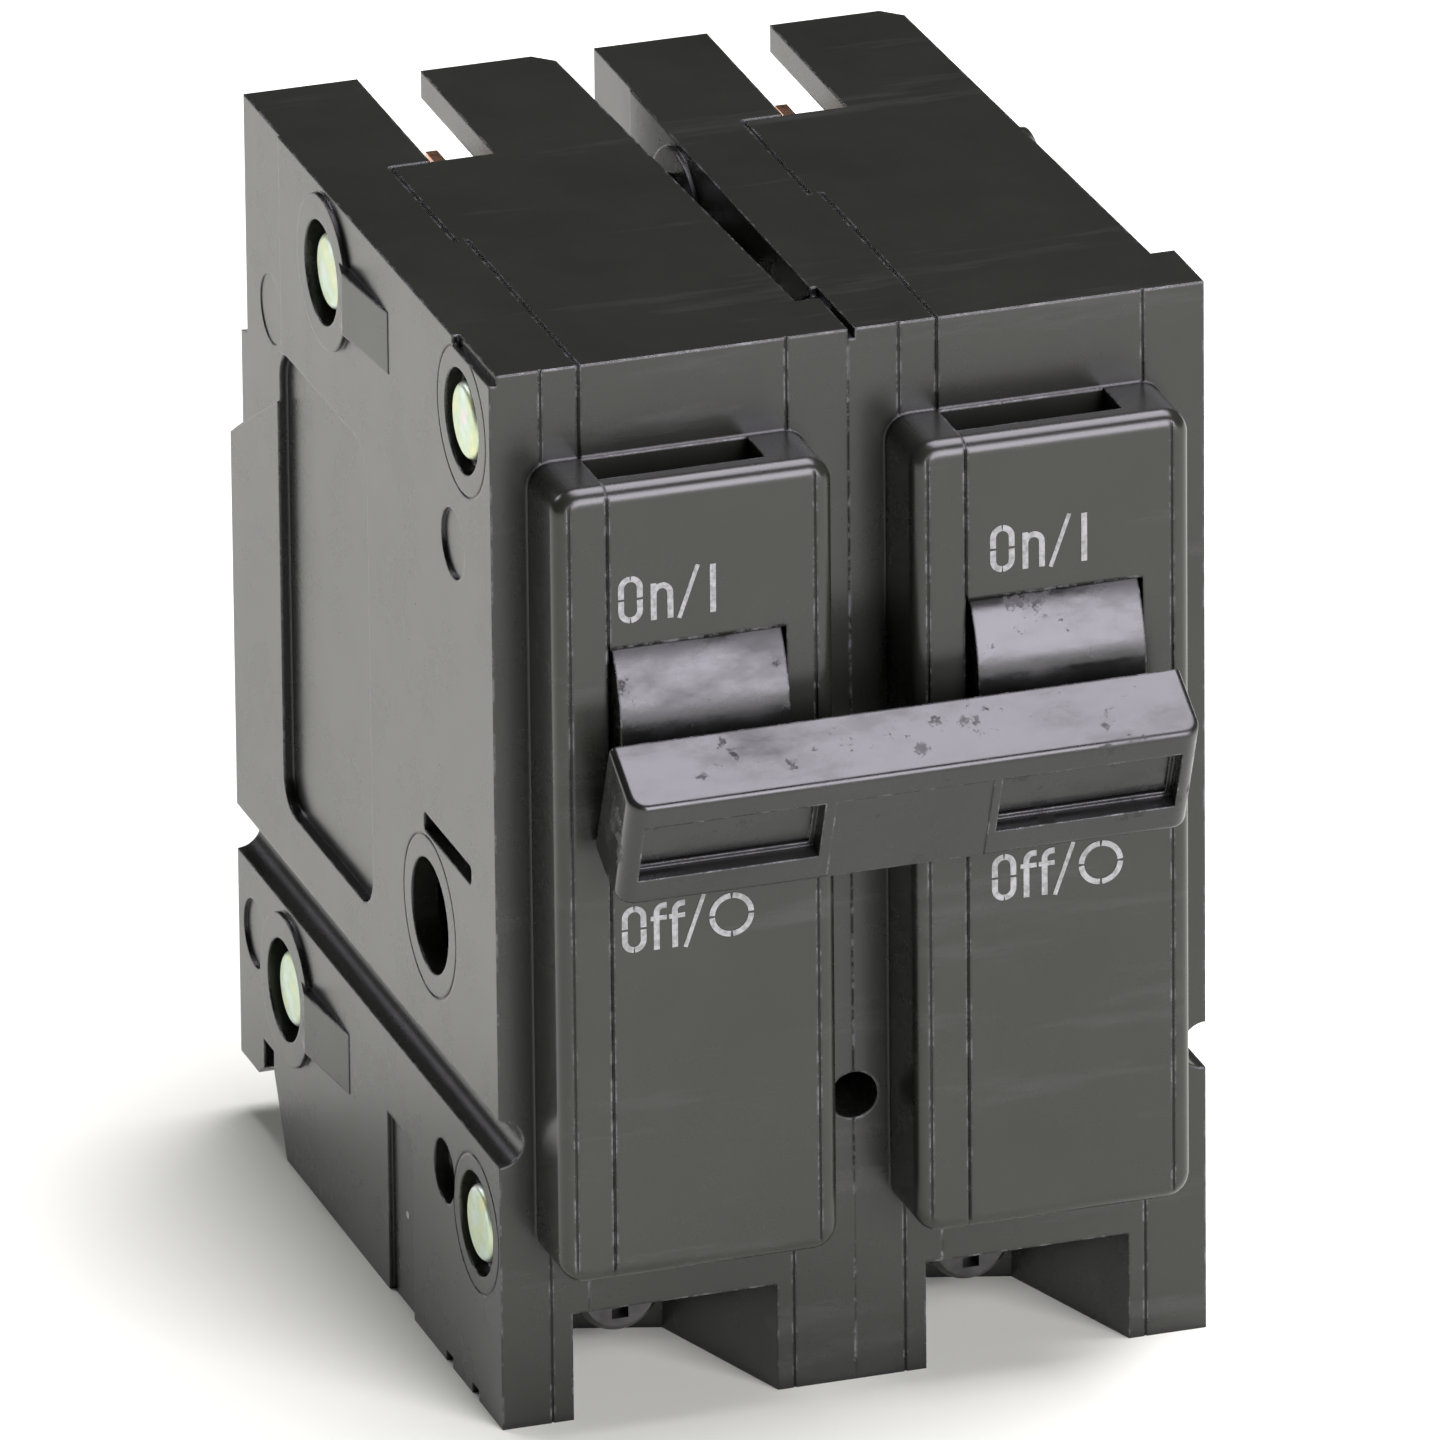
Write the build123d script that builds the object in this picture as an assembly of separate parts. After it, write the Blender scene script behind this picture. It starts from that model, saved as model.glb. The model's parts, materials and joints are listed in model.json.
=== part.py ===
"""Two-pole plug-on circuit breaker with tied handles and a common trip bar.

Each pole is drawn in its own frame: x from the pole's left face, y back from
the front plane, z up from the flat load end. The poles sit side by side.
"""
from build123d import *
from math import cos, hypot, radians, sin
import os

# ---- overall -------------------------------------------------------------
PITCH = 25.4            # width of one pole
HEIGHT = 77.4
REAR = 58.7             # y of the rearmost wall
RAISED = 5.9            # escutcheon stands this far in front of the front plane
WALL = 1.9
CAVITY_LEFT = WALL
CAVITY_RIGHT = 20.3
PARTING = 6.3           # x of the joint between cover and base
MID = 11.5              # x of the mechanism's middle plane
RIGHT_WALL_FRONT = 23.7  # the right side is set back behind the front lip
RIGHT_WALL_REAR = 22.2
LIP_DEPTH = 6.0
REAR_JOINT = 5.5        # x of that joint behind the mechanism
GROOVE = 0.12           # half width and depth of the V line along the joint

# ---- escutcheon and handle ------------------------------------------------
ESC_LEFT, ESC_RIGHT = 2.6, 22.4
ESC_BOTTOM, ESC_TOP = 12.6, 70.7
PIVOT_Y, PIVOT_Z = 3.0, 52.9
OFF_TILT = 20.0         # handle angle below square in the off position
ON_TILT = 16.0          # and above square in the on position
BARREL_R = 10.5
HANDLE_LEFT, HANDLE_RIGHT = 6.6, 18.6
OPENING_LEFT, OPENING_RIGHT = PARTING, 18.9
OPENING_HALF = 6.1
LEVER_THICK = 4.6
LEVER_TIP = 15.75
ARM_PIVOT_R = 9.0       # contact arm pivot, behind the handle pivot
TIE_BACK, TIE_FRONT = 11.6, 16.95
TIE_HALF_WIDTH = 20.3
TIE_LOW, TIE_HIGH = -4.9, 3.95
TIE_HIGH_BACK = 4.95    # the top slopes down from here to its front edge
TIE_HEEL = (11.4, -4.1)  # the underside is cut back here to clear the escutcheon
TIE_SHELF = 1.6         # flat part of the underside, behind the front face
WINDOW_MARGIN = 0.4
SOCKET_PLAY = 0.02
SHADE_HALF = 5.6        # half width of the shallow panel between the windows
WINDOW_LOW, WINDOW_HIGH = -2.65, 2.1

# ---- mechanism (y, z) ------------------------------------------------------
ARM_LENGTH = 25.0
ARM_OFF_ANGLE, ARM_ON_ANGLE = -12.0, 18.0
ARM_BEND = 21.5         # where the arm bends to lay its contact flat when closed
ARM_HOOK = 19.4         # spring's cross bar, measured along the arm
SPRING_R, SPRING_WIRE = 1.8, 0.34
CONTACT_THICK, CONTACT_R = 1.2, 2.3
CONTACT_GAP = 0.08      # left between the contacts when they are closed
CRADLE_PIVOT = (12.0, 39.4)
SPRING_ANCHOR = (20.5, 53.4)
LATCH_TIP_Y = 32.05
LATCH_UNDERSIDE = 38.5
ARMATURE_PIVOT = (32.4, 20.4)
ARMATURE_FRONT = 31.8
ARMATURE_X = (7.7, 15.3)
BLADE_X = (6.9, 16.1)   # width of the contact arm
BLADE_ROOT_X = (9.2, 13.8)
BLADE_HALF = 1.0        # half its thickness
TRIP_BAR = (14.7, 32.2)
TRIP_HOLE_R = 4.1
RIVETS = [(6.1, 71.9), (36.0, 71.4), (5.3, 13.2), (47.3, 13.4)]
REAR_RIVETS = RIVETS[1], RIVETS[3]
RING_R, RING_PROUD = 5.5, 0.35     # raised ring round each rear rivet, on the left side
RAMP_PROUD = 0.8        # wedge that falls away forward from each ring
RAMP_START, RAMP_END, RAMP_HALF = 6.0, 13.8, 2.25
BOSS_R = 3.6
RECESS_R = 3.7

# ---- load end --------------------------------------------------------------
WIRE_LEFT, WIRE_RIGHT, WIRE_TOP = 5.1, 19.8, 7.9
LUG_FRONT, LUG_BACK, LUG_LOW, LUG_HIGH = 15.8, 28.0, 1.5, 12.7
LUG_WIDTH = 11.2
WIRE_Y, WIRE_R = 23.2, 3.6
SCREW_Z, SCREW_R = 4.75, 2.0
FLOOR = 1.3             # thinner wall under the terminal lug
CHANNEL_Z, CHANNEL_R = 21.2, 1.7

STRIP_X = (8.0, 15.0)   # width of the bimetal and of the load strap
BIMETAL_Y = (36.4, 37.4)
YOKE_LEFT, YOKE_RIGHT, YOKE_THICK = 6.0, 17.0, 1.2
YOKE_FRONT, YOKE_BACK = 35.4, 41.0
YOKE_Z = (26.0, 35.0)
STRAP_THICK = 1.4
CALIBRATION_Z = 18.4

# ---- line end --------------------------------------------------------------
SLOT_LEFT, SLOT_RIGHT, SLOT_FRONT = 8.4, 13.0, 38.5
JAW_LOW, JAW_HIGH = 61.6, 73.2
JAW_X = (8.7, 12.7)
FINGER = 0.85           # thickness of the jaw's copper fingers
CLIP_X = (7.7, 13.8)
CLIP_FRONT = (41.6, 42.4)
STRAP_LOW = 60.4
ARC_LOW, ARC_STEP, ARC_COUNT, ARC_THICK = 45.4, 2.4, 5, 1.1

# ---- through rivets --------------------------------------------------------
SHANK_R, HEAD_R, BORE_R = 1.9, 2.7, 1.35


def box(x, y, z):
    """Box from (low, high) pairs."""
    size = (x[1] - x[0], y[1] - y[0], z[1] - z[0])
    centre = ((x[0] + x[1]) / 2, (y[0] + y[1]) / 2, (z[0] + z[1]) / 2)
    return Pos(*centre) * Box(*size)


def rod(x, at, radius):
    """Round bar along x at (y, z)."""
    turned = Rot(0, 90, 0) * Cylinder(radius, x[1] - x[0])
    return Pos((x[0] + x[1]) / 2, at[0], at[1]) * turned


def rod_y(y, at, radius):
    """Round bar along y at (x, z)."""
    turned = Rot(90, 0, 0) * Cylinder(radius, y[1] - y[0])
    return Pos(at[0], (y[0] + y[1]) / 2, at[1]) * turned


def plate(points, x):
    """Flat plate with a (y, z) outline between two x planes."""
    outline = Plane.YZ * make_face(Polyline(*points, close=True))
    return Pos(x[0], 0, 0) * extrude(outline, x[1] - x[0], dir=(1, 0, 0))


def rounded(y, z, x, radius):
    """Plate with a rounded rectangular (y, z) outline."""
    outline = RectangleRounded(y[1] - y[0], z[1] - z[0], radius)
    placed = Pos((y[0] + y[1]) / 2, (z[0] + z[1]) / 2) * outline
    return Pos(x[0], 0, 0) * extrude(Plane.YZ * placed, x[1] - x[0], dir=(1, 0, 0))


def turn(shape, at, degrees):
    """Turn a shape about an x axis through (y, z)."""
    return Pos(0, at[0], at[1]) * Rot(degrees, 0, 0) * Pos(0, -at[0], -at[1]) * shape


def polar(at, radius, degrees, across=0.0):
    """Point (y, z) at a distance and an angle up from straight back."""
    c, s = cos(radians(degrees)), sin(radians(degrees))
    return at[0] + radius * c - across * s, at[1] + radius * s + across * c


PIVOT = (PIVOT_Y, PIVOT_Z)
ARM_PIVOT = polar(PIVOT, ARM_PIVOT_R, OFF_TILT)

BODY_OUTLINE = [
    (0, 0), (48.3, 0), (50.4, 4.4), (51.0, 5.6), (51.0, 7.2), (53.3, 7.2), (53.3, 5.0), (54.6, 4.1),
    (REAR, 4.1), (REAR, 50.9), (56.3, 52.4), (56.3, 59.4), (54.9, 59.8), (54.9, HEIGHT), (0, HEIGHT),
]


# ---- housing ---------------------------------------------------------------
def front_escutcheon():
    block = box((ESC_LEFT, ESC_RIGHT), (-RAISED, 1.0), (ESC_BOTTOM, ESC_TOP))
    block = fillet(block.edges().filter_by(Axis.Y), 1.8)
    return fillet(block.faces().sort_by(Axis.Y)[0].edges(), 1.1)


def right_side_relief():
    """Wedge that sets the right side back behind the front lip."""
    outline = [(RIGHT_WALL_FRONT, LIP_DEPTH), (PITCH + 1, LIP_DEPTH), (PITCH + 1, REAR + 1),
               (RIGHT_WALL_REAR, REAR + 1)]
    relief = extrude(make_face(Polyline(*outline, close=True)), HEIGHT + 2)
    relief = Pos(0, 0, -1) * relief
    for rivet in RIVETS:
        relief -= rod((20, PITCH), rivet, BOSS_R)
    return relief


def side_ring(rivet):
    """Raised ring round a rear rivet, and the wedge that runs forward from it."""
    y, z = rivet
    ring = rod((-RING_PROUD, 1.0), rivet, RING_R)
    outline = [(1.0, y - 4.0), (-RING_PROUD, y - 4.0), (-RAMP_PROUD, y - RAMP_START), (-0.05, y - RAMP_END),
               (1.0, y - RAMP_END)]
    wedge = extrude(make_face(Polyline(*outline, close=True)), 2 * RAMP_HALF)
    return ring + Pos(0, 0, z - RAMP_HALF) * wedge


def pole_outside():
    body = plate(BODY_OUTLINE, (0, PITCH)) + front_escutcheon()
    body -= right_side_relief()
    for rivet in REAR_RIVETS:
        body += side_ring(rivet)
    channel_length = (-1, REAR + 1)
    body -= rod_y(channel_length, (0, CHANNEL_Z), CHANNEL_R)
    body -= rod_y(channel_length, (PITCH, CHANNEL_Z), CHANNEL_R)
    return body


def cavity():
    """Space inside one pole: mechanism, terminal and jaw chambers."""
    upper = plate([(1.9, 24.6), (56.6, 24.6), (56.6, 50.2), (54.2, 51.6), (54.2, 57.2), (41.5, 57.2),
                   (41.5, 75.4), (1.9, 75.4)], (CAVITY_LEFT, CAVITY_RIGHT))
    lower = box((CAVITY_LEFT, CAVITY_RIGHT), (15.6, 46.0), (FLOOR, 17.8))
    lower += box((CAVITY_LEFT, CAVITY_RIGHT), (2.0, 15.7), (9.8, 17.8))
    neck = box((4.2, 19.0), (8.0, 52.0), (17.0, 25.0))
    jaw = box((6.6, CAVITY_RIGHT), (41.4, 56), (57.1, 75.4))
    jaw -= box((SLOT_RIGHT + 0.6, CAVITY_RIGHT), (54.3, 56), (57.1, 75.4))
    front = box((4.6, CAVITY_RIGHT), (-4.1, 2.0), (14.6, 65.0))
    return upper + lower + neck + jaw + front


def inner_posts():
    """Rivet columns and pivot bosses that stand inside the chambers."""
    posts = [rod((0.5, RIGHT_WALL_REAR), rivet, 3.1) for rivet in RIVETS]
    for at, radius in ((PIVOT, 3.0), (CRADLE_PIVOT, 2.6)):
        posts.append(rod((0.5, 6.2), at, radius))
        posts.append(rod((18.9, 22.0), at, radius))
    return posts


def openings():
    """Everything cut through or into the walls."""
    cuts = [rod((-1, PITCH + 1), rivet, 1.95) for rivet in RIVETS]
    for rivet in RIVETS:
        cuts.append(rod((-1, 1.2), rivet, RECESS_R))
        cuts.append(rod((PITCH - 0.9, PITCH + 1), rivet, 2.9))
    cuts.append(rod((-1, PITCH + 1), TRIP_BAR, TRIP_HOLE_R))
    opening_z = (PIVOT_Z - OPENING_HALF, PIVOT_Z + OPENING_HALF)
    cuts.append(box((OPENING_LEFT, OPENING_RIGHT), (-RAISED - 1, 2.0), opening_z))
    cuts.append(rod((OPENING_LEFT, OPENING_RIGHT), PIVOT, BARREL_R + 0.3))
    cuts.append(box((PARTING, 18.1), (-4.0, -0.2), (66.6, ESC_TOP + 1)))
    cuts.append(box((SLOT_LEFT, SLOT_RIGHT), (SLOT_FRONT, 60), (60.5, HEIGHT + 1)))
    cuts.append(box((SLOT_LEFT, RIGHT_WALL_REAR - 1.9), (54.0, 60), (62.0, 75.4)))
    cuts.append(wire_pocket())
    cuts.append(rod_y((11, 17), (MID, SCREW_Z), 3.8) & box((0, 25), (11, 17), (0.8, WIRE_TOP)))
    cuts.append(Pos(MID, WIRE_Y, 1) * Cylinder(4.4, 4))
    cuts.append(rod_y((50, 62), (MID, CALIBRATION_Z), 1.2))
    corner = make_face(Polyline((20.7, 55.2), (23.6, 52.3), (23.6, 55.2), close=True))
    cuts.append(Pos(0, 0, 59.0) * extrude(corner, 20))
    return cuts


def wire_pocket():
    plan = [(WIRE_LEFT, -1), (WIRE_LEFT, 14.6), (10.0, 14.4), (15.6, 12.6), (WIRE_RIGHT, 0),
            (WIRE_RIGHT, -1)]
    return Pos(0, 0, -1) * extrude(make_face(Polyline(*plan, close=True)), WIRE_TOP + 1)


def side_marks():
    """Shallow marks in the left face, as (solid) cuts."""
    marks = [rounded((27.5, 47.6), (27.2, 61.6), (-1, 0.75), 2.5)]
    marks.append(box((-1, 0.35), (19.5, 25.0), (-1, 13.4)))
    marks.append(rounded((5.3, 15.7), (38.2, 39.6), (-1, 1.2), 0.4))
    marks.append(rod((-1, 1.2), (12.3, 14.2), 2.3))
    for at in ((8.4, 62.1), (49.2, 63.6), (55.0, 14.5)):
        marks.append(rod((-1, 0.25), at, 2.5))
    for at, radius in ((RIVETS[0], 5.3), (RIVETS[2], 5.0), (TRIP_BAR, 5.8)):
        marks.append(rod((-1, 0.1), at, radius) - rod((-2, 1), at, radius - 0.16))
    marks.append(box((-1, 0.5), (-1, 8.0), (HEIGHT - 0.7, HEIGHT + 1)))
    marks.append(box((-1, 1.9), (5.2, 6.6), (-1, 0.8)))
    marks.append(box((-1, 1.9), (10.9, 12.3), (-1, 0.8)))
    rear_step = [(46.6, HEIGHT + 1), (46.6, 58.0), (57.0, 52.0), (57.0, HEIGHT + 1)]
    marks.append(plate(rear_step, (-1, 0.18)))
    return marks


def witness_lines():
    """Fine mould lines down the front, either side of the parting line."""
    lines = []
    for x in (3.6, 21.0):
        lines.append(box((x - 0.09, x + 0.09), (-RAISED - 1, 0.12 - RAISED), (0, HEIGHT)))
        lines.append(box((x - 0.09, x + 0.09), (-1, 0.12), (ESC_TOP, HEIGHT + 1)))
        lines.append(box((x - 0.09, x + 0.09), (-1, 0.12), (-1, ESC_BOTTOM)))
    return lines


def cover_side():
    """The part of a pole that belongs to the cover."""
    joint = [(-1, -10), (PARTING, -10), (PARTING, 24), (REAR_JOINT, 25), (REAR_JOINT, 60),
             (-1, 60)]
    region = Pos(0, 0, -1) * extrude(make_face(Polyline(*joint, close=True)), HEIGHT + 2)
    return region + box((5.4, SLOT_LEFT + 0.1), (SLOT_FRONT, 60), (60.5, HEIGHT + 1))


def seam_gap():
    """Fine V GROOVE along the joint, on the front and top faces."""
    cuts = [box((PARTING - GROOVE, PARTING + GROOVE), (-RAISED - 1, GROOVE - RAISED), (0, HEIGHT))]
    cuts.append(box((PARTING - GROOVE, PARTING + GROOVE), (-1, GROOVE), (ESC_TOP, HEIGHT + 1)))
    cuts.append(box((PARTING - GROOVE, PARTING + GROOVE), (-1, 24), (HEIGHT - GROOVE, HEIGHT + 1)))
    cuts.append(box((REAR_JOINT - GROOVE, REAR_JOINT + GROOVE), (24, SLOT_FRONT),
                    (HEIGHT - GROOVE, HEIGHT + 1)))
    cuts.append(box((REAR_JOINT, SLOT_LEFT), (SLOT_FRONT - GROOVE, SLOT_FRONT + GROOVE),
                    (HEIGHT - GROOVE, HEIGHT + 1)))
    return cuts


def blind_pin_holes():
    holes = [rod((3.4, 22.0), PIVOT, 1.5), rod((3.4, 21.6), CRADLE_PIVOT, 1.2)]
    holes.append(rod((3.0, 20.2), ARMATURE_PIVOT, 0.9))
    return holes


def housing_shells():
    shell = pole_outside() - cavity()
    for post in inner_posts():
        shell += post
    for cut in openings() + side_marks() + witness_lines() + seam_gap() + blind_pin_holes():
        shell -= cut
    side = cover_side()
    return main_solid(shell & side), main_solid(shell - side)


def main_solid(shape):
    return shape.solids().sort_by(SortBy.VOLUME)[-1]


# ---- handle and tie --------------------------------------------------------
def sector(radius, half_angle, x):
    """Disc sector about the handle pivot, facing forward."""
    reach = radius * 3
    angle = radians(half_angle)
    corner = (PIVOT_Y - reach * cos(angle), reach * sin(angle))
    wedge = plate([PIVOT, (corner[0], PIVOT_Z - corner[1]), (corner[0] - reach, PIVOT_Z),
                   (corner[0], PIVOT_Z + corner[1])], x)
    return rod(x, PIVOT, radius) & wedge


def handle():
    x = (HANDLE_LEFT, HANDLE_RIGHT)
    half = LEVER_THICK / 2
    body = sector(BARREL_R, 56, x) + rod(x, PIVOT, 3.4)
    body -= sector(BARREL_R - 2.2, 60, (8.6, 16.6)) - rod(x, PIVOT, 3.4)
    lever = box(x, (PIVOT_Y - LEVER_TIP, PIVOT_Y - 3.0), (PIVOT_Z - half, PIVOT_Z + half))
    body += fillet(lever.edges().filter_by(Axis.X).sort_by(Axis.Y)[:2], 0.5)
    for cheek in ((7.0, 8.6), (14.4, 16.0)):
        tail = box(cheek, (PIVOT_Y, PIVOT_Y + ARM_PIVOT_R), (PIVOT_Z - 2.0, PIVOT_Z + 2.0))
        body += tail + rod(cheek, (PIVOT_Y + ARM_PIVOT_R, PIVOT_Z), 2.0)
    body -= rod((0, PITCH), PIVOT, 1.56)
    body -= rod((0, PITCH), (PIVOT_Y + ARM_PIVOT_R, PIVOT_Z), 1.0)
    return turn(body, PIVOT, OFF_TILT)


def lever_plate(points, x):
    """Plate whose outline is given along the level handle and above it, from the pivot."""
    return plate([(PIVOT_Y - along, PIVOT_Z + above) for along, above in points], x)


def tie_bar():
    """Sleeve over both levers, with a window in front of each lever tip."""
    x = (-TIE_HALF_WIDTH, TIE_HALF_WIDTH)
    back, front = PIVOT_Y - TIE_BACK, PIVOT_Y - TIE_FRONT
    section = [(TIE_BACK, TIE_HIGH_BACK), (TIE_FRONT, TIE_HIGH), (TIE_FRONT, TIE_LOW),
               (TIE_FRONT - TIE_SHELF, TIE_LOW), TIE_HEEL]
    body = lever_plate(section, x)
    front_face = body.faces().sort_by(Axis.Y)[0]
    body = fillet(front_face.edges().filter_by(Axis.Z), 1.3)
    body = fillet(body.faces().sort_by(Axis.Y)[0].edges(), 0.5)
    half = LEVER_THICK / 2
    window_z = (PIVOT_Z + WINDOW_LOW, PIVOT_Z + WINDOW_HIGH)
    for pole_left in (-PITCH, 0):
        socket_x = (pole_left + HANDLE_LEFT - SOCKET_PLAY, pole_left + HANDLE_RIGHT + SOCKET_PLAY)
        socket_z = (PIVOT_Z - half - SOCKET_PLAY, PIVOT_Z + half + SOCKET_PLAY)
        body -= box(socket_x, (PIVOT_Y - LEVER_TIP - SOCKET_PLAY, back + 1), socket_z)
        window_x = (pole_left + HANDLE_LEFT - WINDOW_MARGIN,
                    pole_left + HANDLE_RIGHT + WINDOW_MARGIN)
        body -= box(window_x, (front - 1, PIVOT_Y - LEVER_TIP), window_z)
    shade = box((-SHADE_HALF, SHADE_HALF), (front - 1, front + 0.12),
                (PIVOT_Z + TIE_LOW - 1, PIVOT_Z + WINDOW_HIGH))
    return turn(body - shade, PIVOT, OFF_TILT)


# ---- contact arm, spring, cradle, trip parts --------------------------------
def contact_seat(shape):
    """Bend the arm's end so that the closed contacts meet flat."""
    return turn(shape, (ARM_PIVOT[0] + ARM_BEND, ARM_PIVOT[1]), -ARM_ON_ANGLE)


def contact_arm():
    """Flat blade with a window for the spring, drawn level and then turned."""
    y, z = ARM_PIVOT
    thickness = (z - BLADE_HALF, z + BLADE_HALF)
    blade = box(BLADE_X, (y + 3.2, y + ARM_BEND), thickness)
    blade += contact_seat(box(BLADE_X, (y + ARM_BEND - 0.3, y + ARM_LENGTH + 1.3), thickness))
    blade += box(BLADE_ROOT_X, (y, y + 4.0), thickness) + rod(BLADE_ROOT_X, ARM_PIVOT, 1.7)
    blade += box((16.0, 18.8), (y + 16.0, y + 19.0), thickness)
    blade -= box((8.8, 14.2), (y + 5.0, y + ARM_HOOK + 1.8), (z - 2, z + 2))
    blade += rod((8.7, 14.3), (y + ARM_HOOK, z), 0.6)
    blade -= rod((6, 16), ARM_PIVOT, 1.06)
    return turn(blade, ARM_PIVOT, ARM_OFF_ANGLE)


def moving_contact():
    y, z = ARM_PIVOT
    centre = (MID, y + ARM_LENGTH - 1.0, z + BLADE_HALF + CONTACT_THICK / 2)
    tip = Pos(*centre) * Cylinder(CONTACT_R, CONTACT_THICK)
    return turn(contact_seat(tip), ARM_PIVOT, ARM_OFF_ANGLE)


def helix_wire(turns_pitch, length, coil_r, wire_r):
    path = Helix(turns_pitch, length, coil_r)
    start = Plane(path @ 0, z_dir=path % 0)
    return sweep(start * Circle(wire_r), path, is_frenet=True)


def toggle_spring():
    """Extension spring from the cradle's hook to the arm's cross bar."""
    end_y, end_z = polar(ARM_PIVOT, ARM_HOOK, ARM_OFF_ANGLE)
    run_y, run_z = end_y - SPRING_ANCHOR[0], end_z - SPRING_ANCHOR[1]
    length = hypot(run_y, run_z)
    along = Plane((MID, *SPRING_ANCHOR), x_dir=(1, 0, 0), z_dir=(0, run_y, run_z))
    coil_low, pitch = 3.3, 0.9
    coil_length = pitch * int((length - 2.4 - coil_low) / pitch)
    coil_high = coil_low + coil_length
    spring = Pos(0, 0, coil_low) * helix_wire(pitch, coil_length, SPRING_R, SPRING_WIRE)
    spring += Pos(0, 0, 1.3) * Rot(90, 0, 0) * Torus(1.3, SPRING_WIRE)
    spring += Pos(0, 0, length) * Rot(0, 90, 0) * Torus(1.15, SPRING_WIRE)
    for ring_edge, coil_end in ((2.6, coil_low), (length - 1.15, coil_high)):
        leg_length = abs(coil_end - ring_edge) + SPRING_WIRE
        spring += Pos(0, 0, (ring_edge + coil_end) / 2) * Cylinder(SPRING_WIRE, leg_length)
        reach = Pos(SPRING_R / 2, 0, coil_end) * Rot(0, 90, 0)
        spring += reach * Cylinder(SPRING_WIRE, SPRING_R + SPRING_WIRE)
    return along * spring


def cradle():
    """Trip lever: pivot at the front, spring hook above, latch tip behind."""
    x = (MID - 0.6, MID + 0.6)
    y, z = CRADLE_PIVOT
    hook_y, hook_z = SPRING_ANCHOR
    lever = rod(x, CRADLE_PIVOT, 2.5)
    lever += plate([(y - 2.2, z + 1.0), (hook_y - 1.6, hook_z + 0.2), (hook_y + 0.3, hook_z - 1.6),
                    (y + 4.6, z - 1.8), (y, z - 2.5)], x)
    lever += rod(x, SPRING_ANCHOR, 1.6)
    lever += plate([(y, z - 2.5), (y + 4, z + 2.2), (LATCH_TIP_Y, LATCH_UNDERSIDE + 1.9),
                    (LATCH_TIP_Y, LATCH_UNDERSIDE), (y + 8, z - 2.6)], x)
    lever += plate([(y - 0.4, z - 2.0), (y + 2.4, z - 1.6), (y + 1.4, z - 3.6), (y + 0.4, z - 3.6)], x)
    lever -= rod((0, PITCH), CRADLE_PIVOT, 1.26)
    return lever - rod(x, SPRING_ANCHOR, 0.75)


def armature():
    y, z = ARMATURE_PIVOT
    leaf = box(ARMATURE_X, (ARMATURE_FRONT, ARMATURE_FRONT + 1.2), (z + 0.5, z + 22.8))
    leaf += rod(ARMATURE_X, ARMATURE_PIVOT, 1.9)
    leaf -= box((10.2, 12.8), (y - 3, y + 3), (LATCH_UNDERSIDE - 0.35, LATCH_UNDERSIDE + 3.3))
    return leaf - rod((0, PITCH), ARMATURE_PIVOT, 0.96)


def trip_bar():
    """Bar through both poles, with a paddle behind each armature's leaf."""
    y, z = TRIP_BAR
    bar = rod((20.4 - PITCH, WALL - 0.1), TRIP_BAR, TRIP_HOLE_R - 0.06)
    bar += rod((7.2 - PITCH, 16.6), TRIP_BAR, 2.0)
    for pole_left in (-PITCH, 0):
        x = (pole_left + MID - 2.0, pole_left + MID + 2.0)
        bar += rod(x, TRIP_BAR, 2.8)
        bar += plate([(y, z + 1.8), (31.2, 28.9), (31.2, 27.0), (y, z - 2.4)], x)
        bar += plate([(y - 2.3, z - 0.8), (y - 5.3, z + 3.0), (y - 4.5, z + 4.0), (y - 3.1, z + 3.4),
                      (y - 0.7, z + 1.8)], x)
    return bar


# ---- load side -------------------------------------------------------------
def bimetal():
    strip = box(STRIP_X, BIMETAL_Y, (15.4, 42.6))
    return strip + box((14.9, 18.8), BIMETAL_Y, (39.6, 42.6))


def magnet_yoke():
    """Three sides of a box round the bimetal, open towards the armature."""
    yoke = box((YOKE_LEFT, YOKE_RIGHT), (YOKE_BACK - STRAP_THICK, YOKE_BACK), YOKE_Z)
    yoke += box((YOKE_LEFT, YOKE_LEFT + YOKE_THICK), (YOKE_FRONT, YOKE_BACK), YOKE_Z)
    return yoke + box((YOKE_RIGHT - YOKE_THICK, YOKE_RIGHT), (YOKE_FRONT, YOKE_BACK), YOKE_Z)


def load_strap():
    """Copper strap from the top of the lug to the foot of the bimetal."""
    low, back = BIMETAL_Y[1], BIMETAL_Y[1] + STRAP_THICK
    strap = box(STRIP_X, (17.0, back), (LUG_HIGH, LUG_HIGH + STRAP_THICK))
    strap += box(STRIP_X, (low, back), (LUG_HIGH, 21.4))
    return strap - rod_y((36, 40), (MID, CALIBRATION_Z), 1.25)


def calibration_screw():
    screw = rod_y((37.6, 43.8), (MID, CALIBRATION_Z), 1.25) + rod_y((43.8, 45.4), (MID, CALIBRATION_Z), 2.2)
    return screw - box((MID - 2.5, MID + 2.5), (44.8, 46), (CALIBRATION_Z - 0.3, CALIBRATION_Z + 0.3))


def terminal_lug():
    centre_y = (LUG_FRONT + LUG_BACK) / 2
    height = LUG_HIGH - LUG_LOW
    block = Box(LUG_WIDTH, LUG_BACK - LUG_FRONT, height)
    block = fillet(block.edges().filter_by(Axis.Z), 0.8)
    block = Pos(MID, centre_y, LUG_LOW + height / 2) * block
    block -= Pos(MID, WIRE_Y, LUG_LOW + height / 2) * Cylinder(WIRE_R, height + 2)
    return block - rod_y((LUG_FRONT - 1, WIRE_Y), (MID, SCREW_Z), SCREW_R + 0.05)


PAD_FACE = 19.3
SCREW_HEAD = 9.2


def pressure_pad():
    return rod_y((PAD_FACE - 0.9, PAD_FACE), (MID, SCREW_Z), SCREW_R - 0.1)


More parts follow.
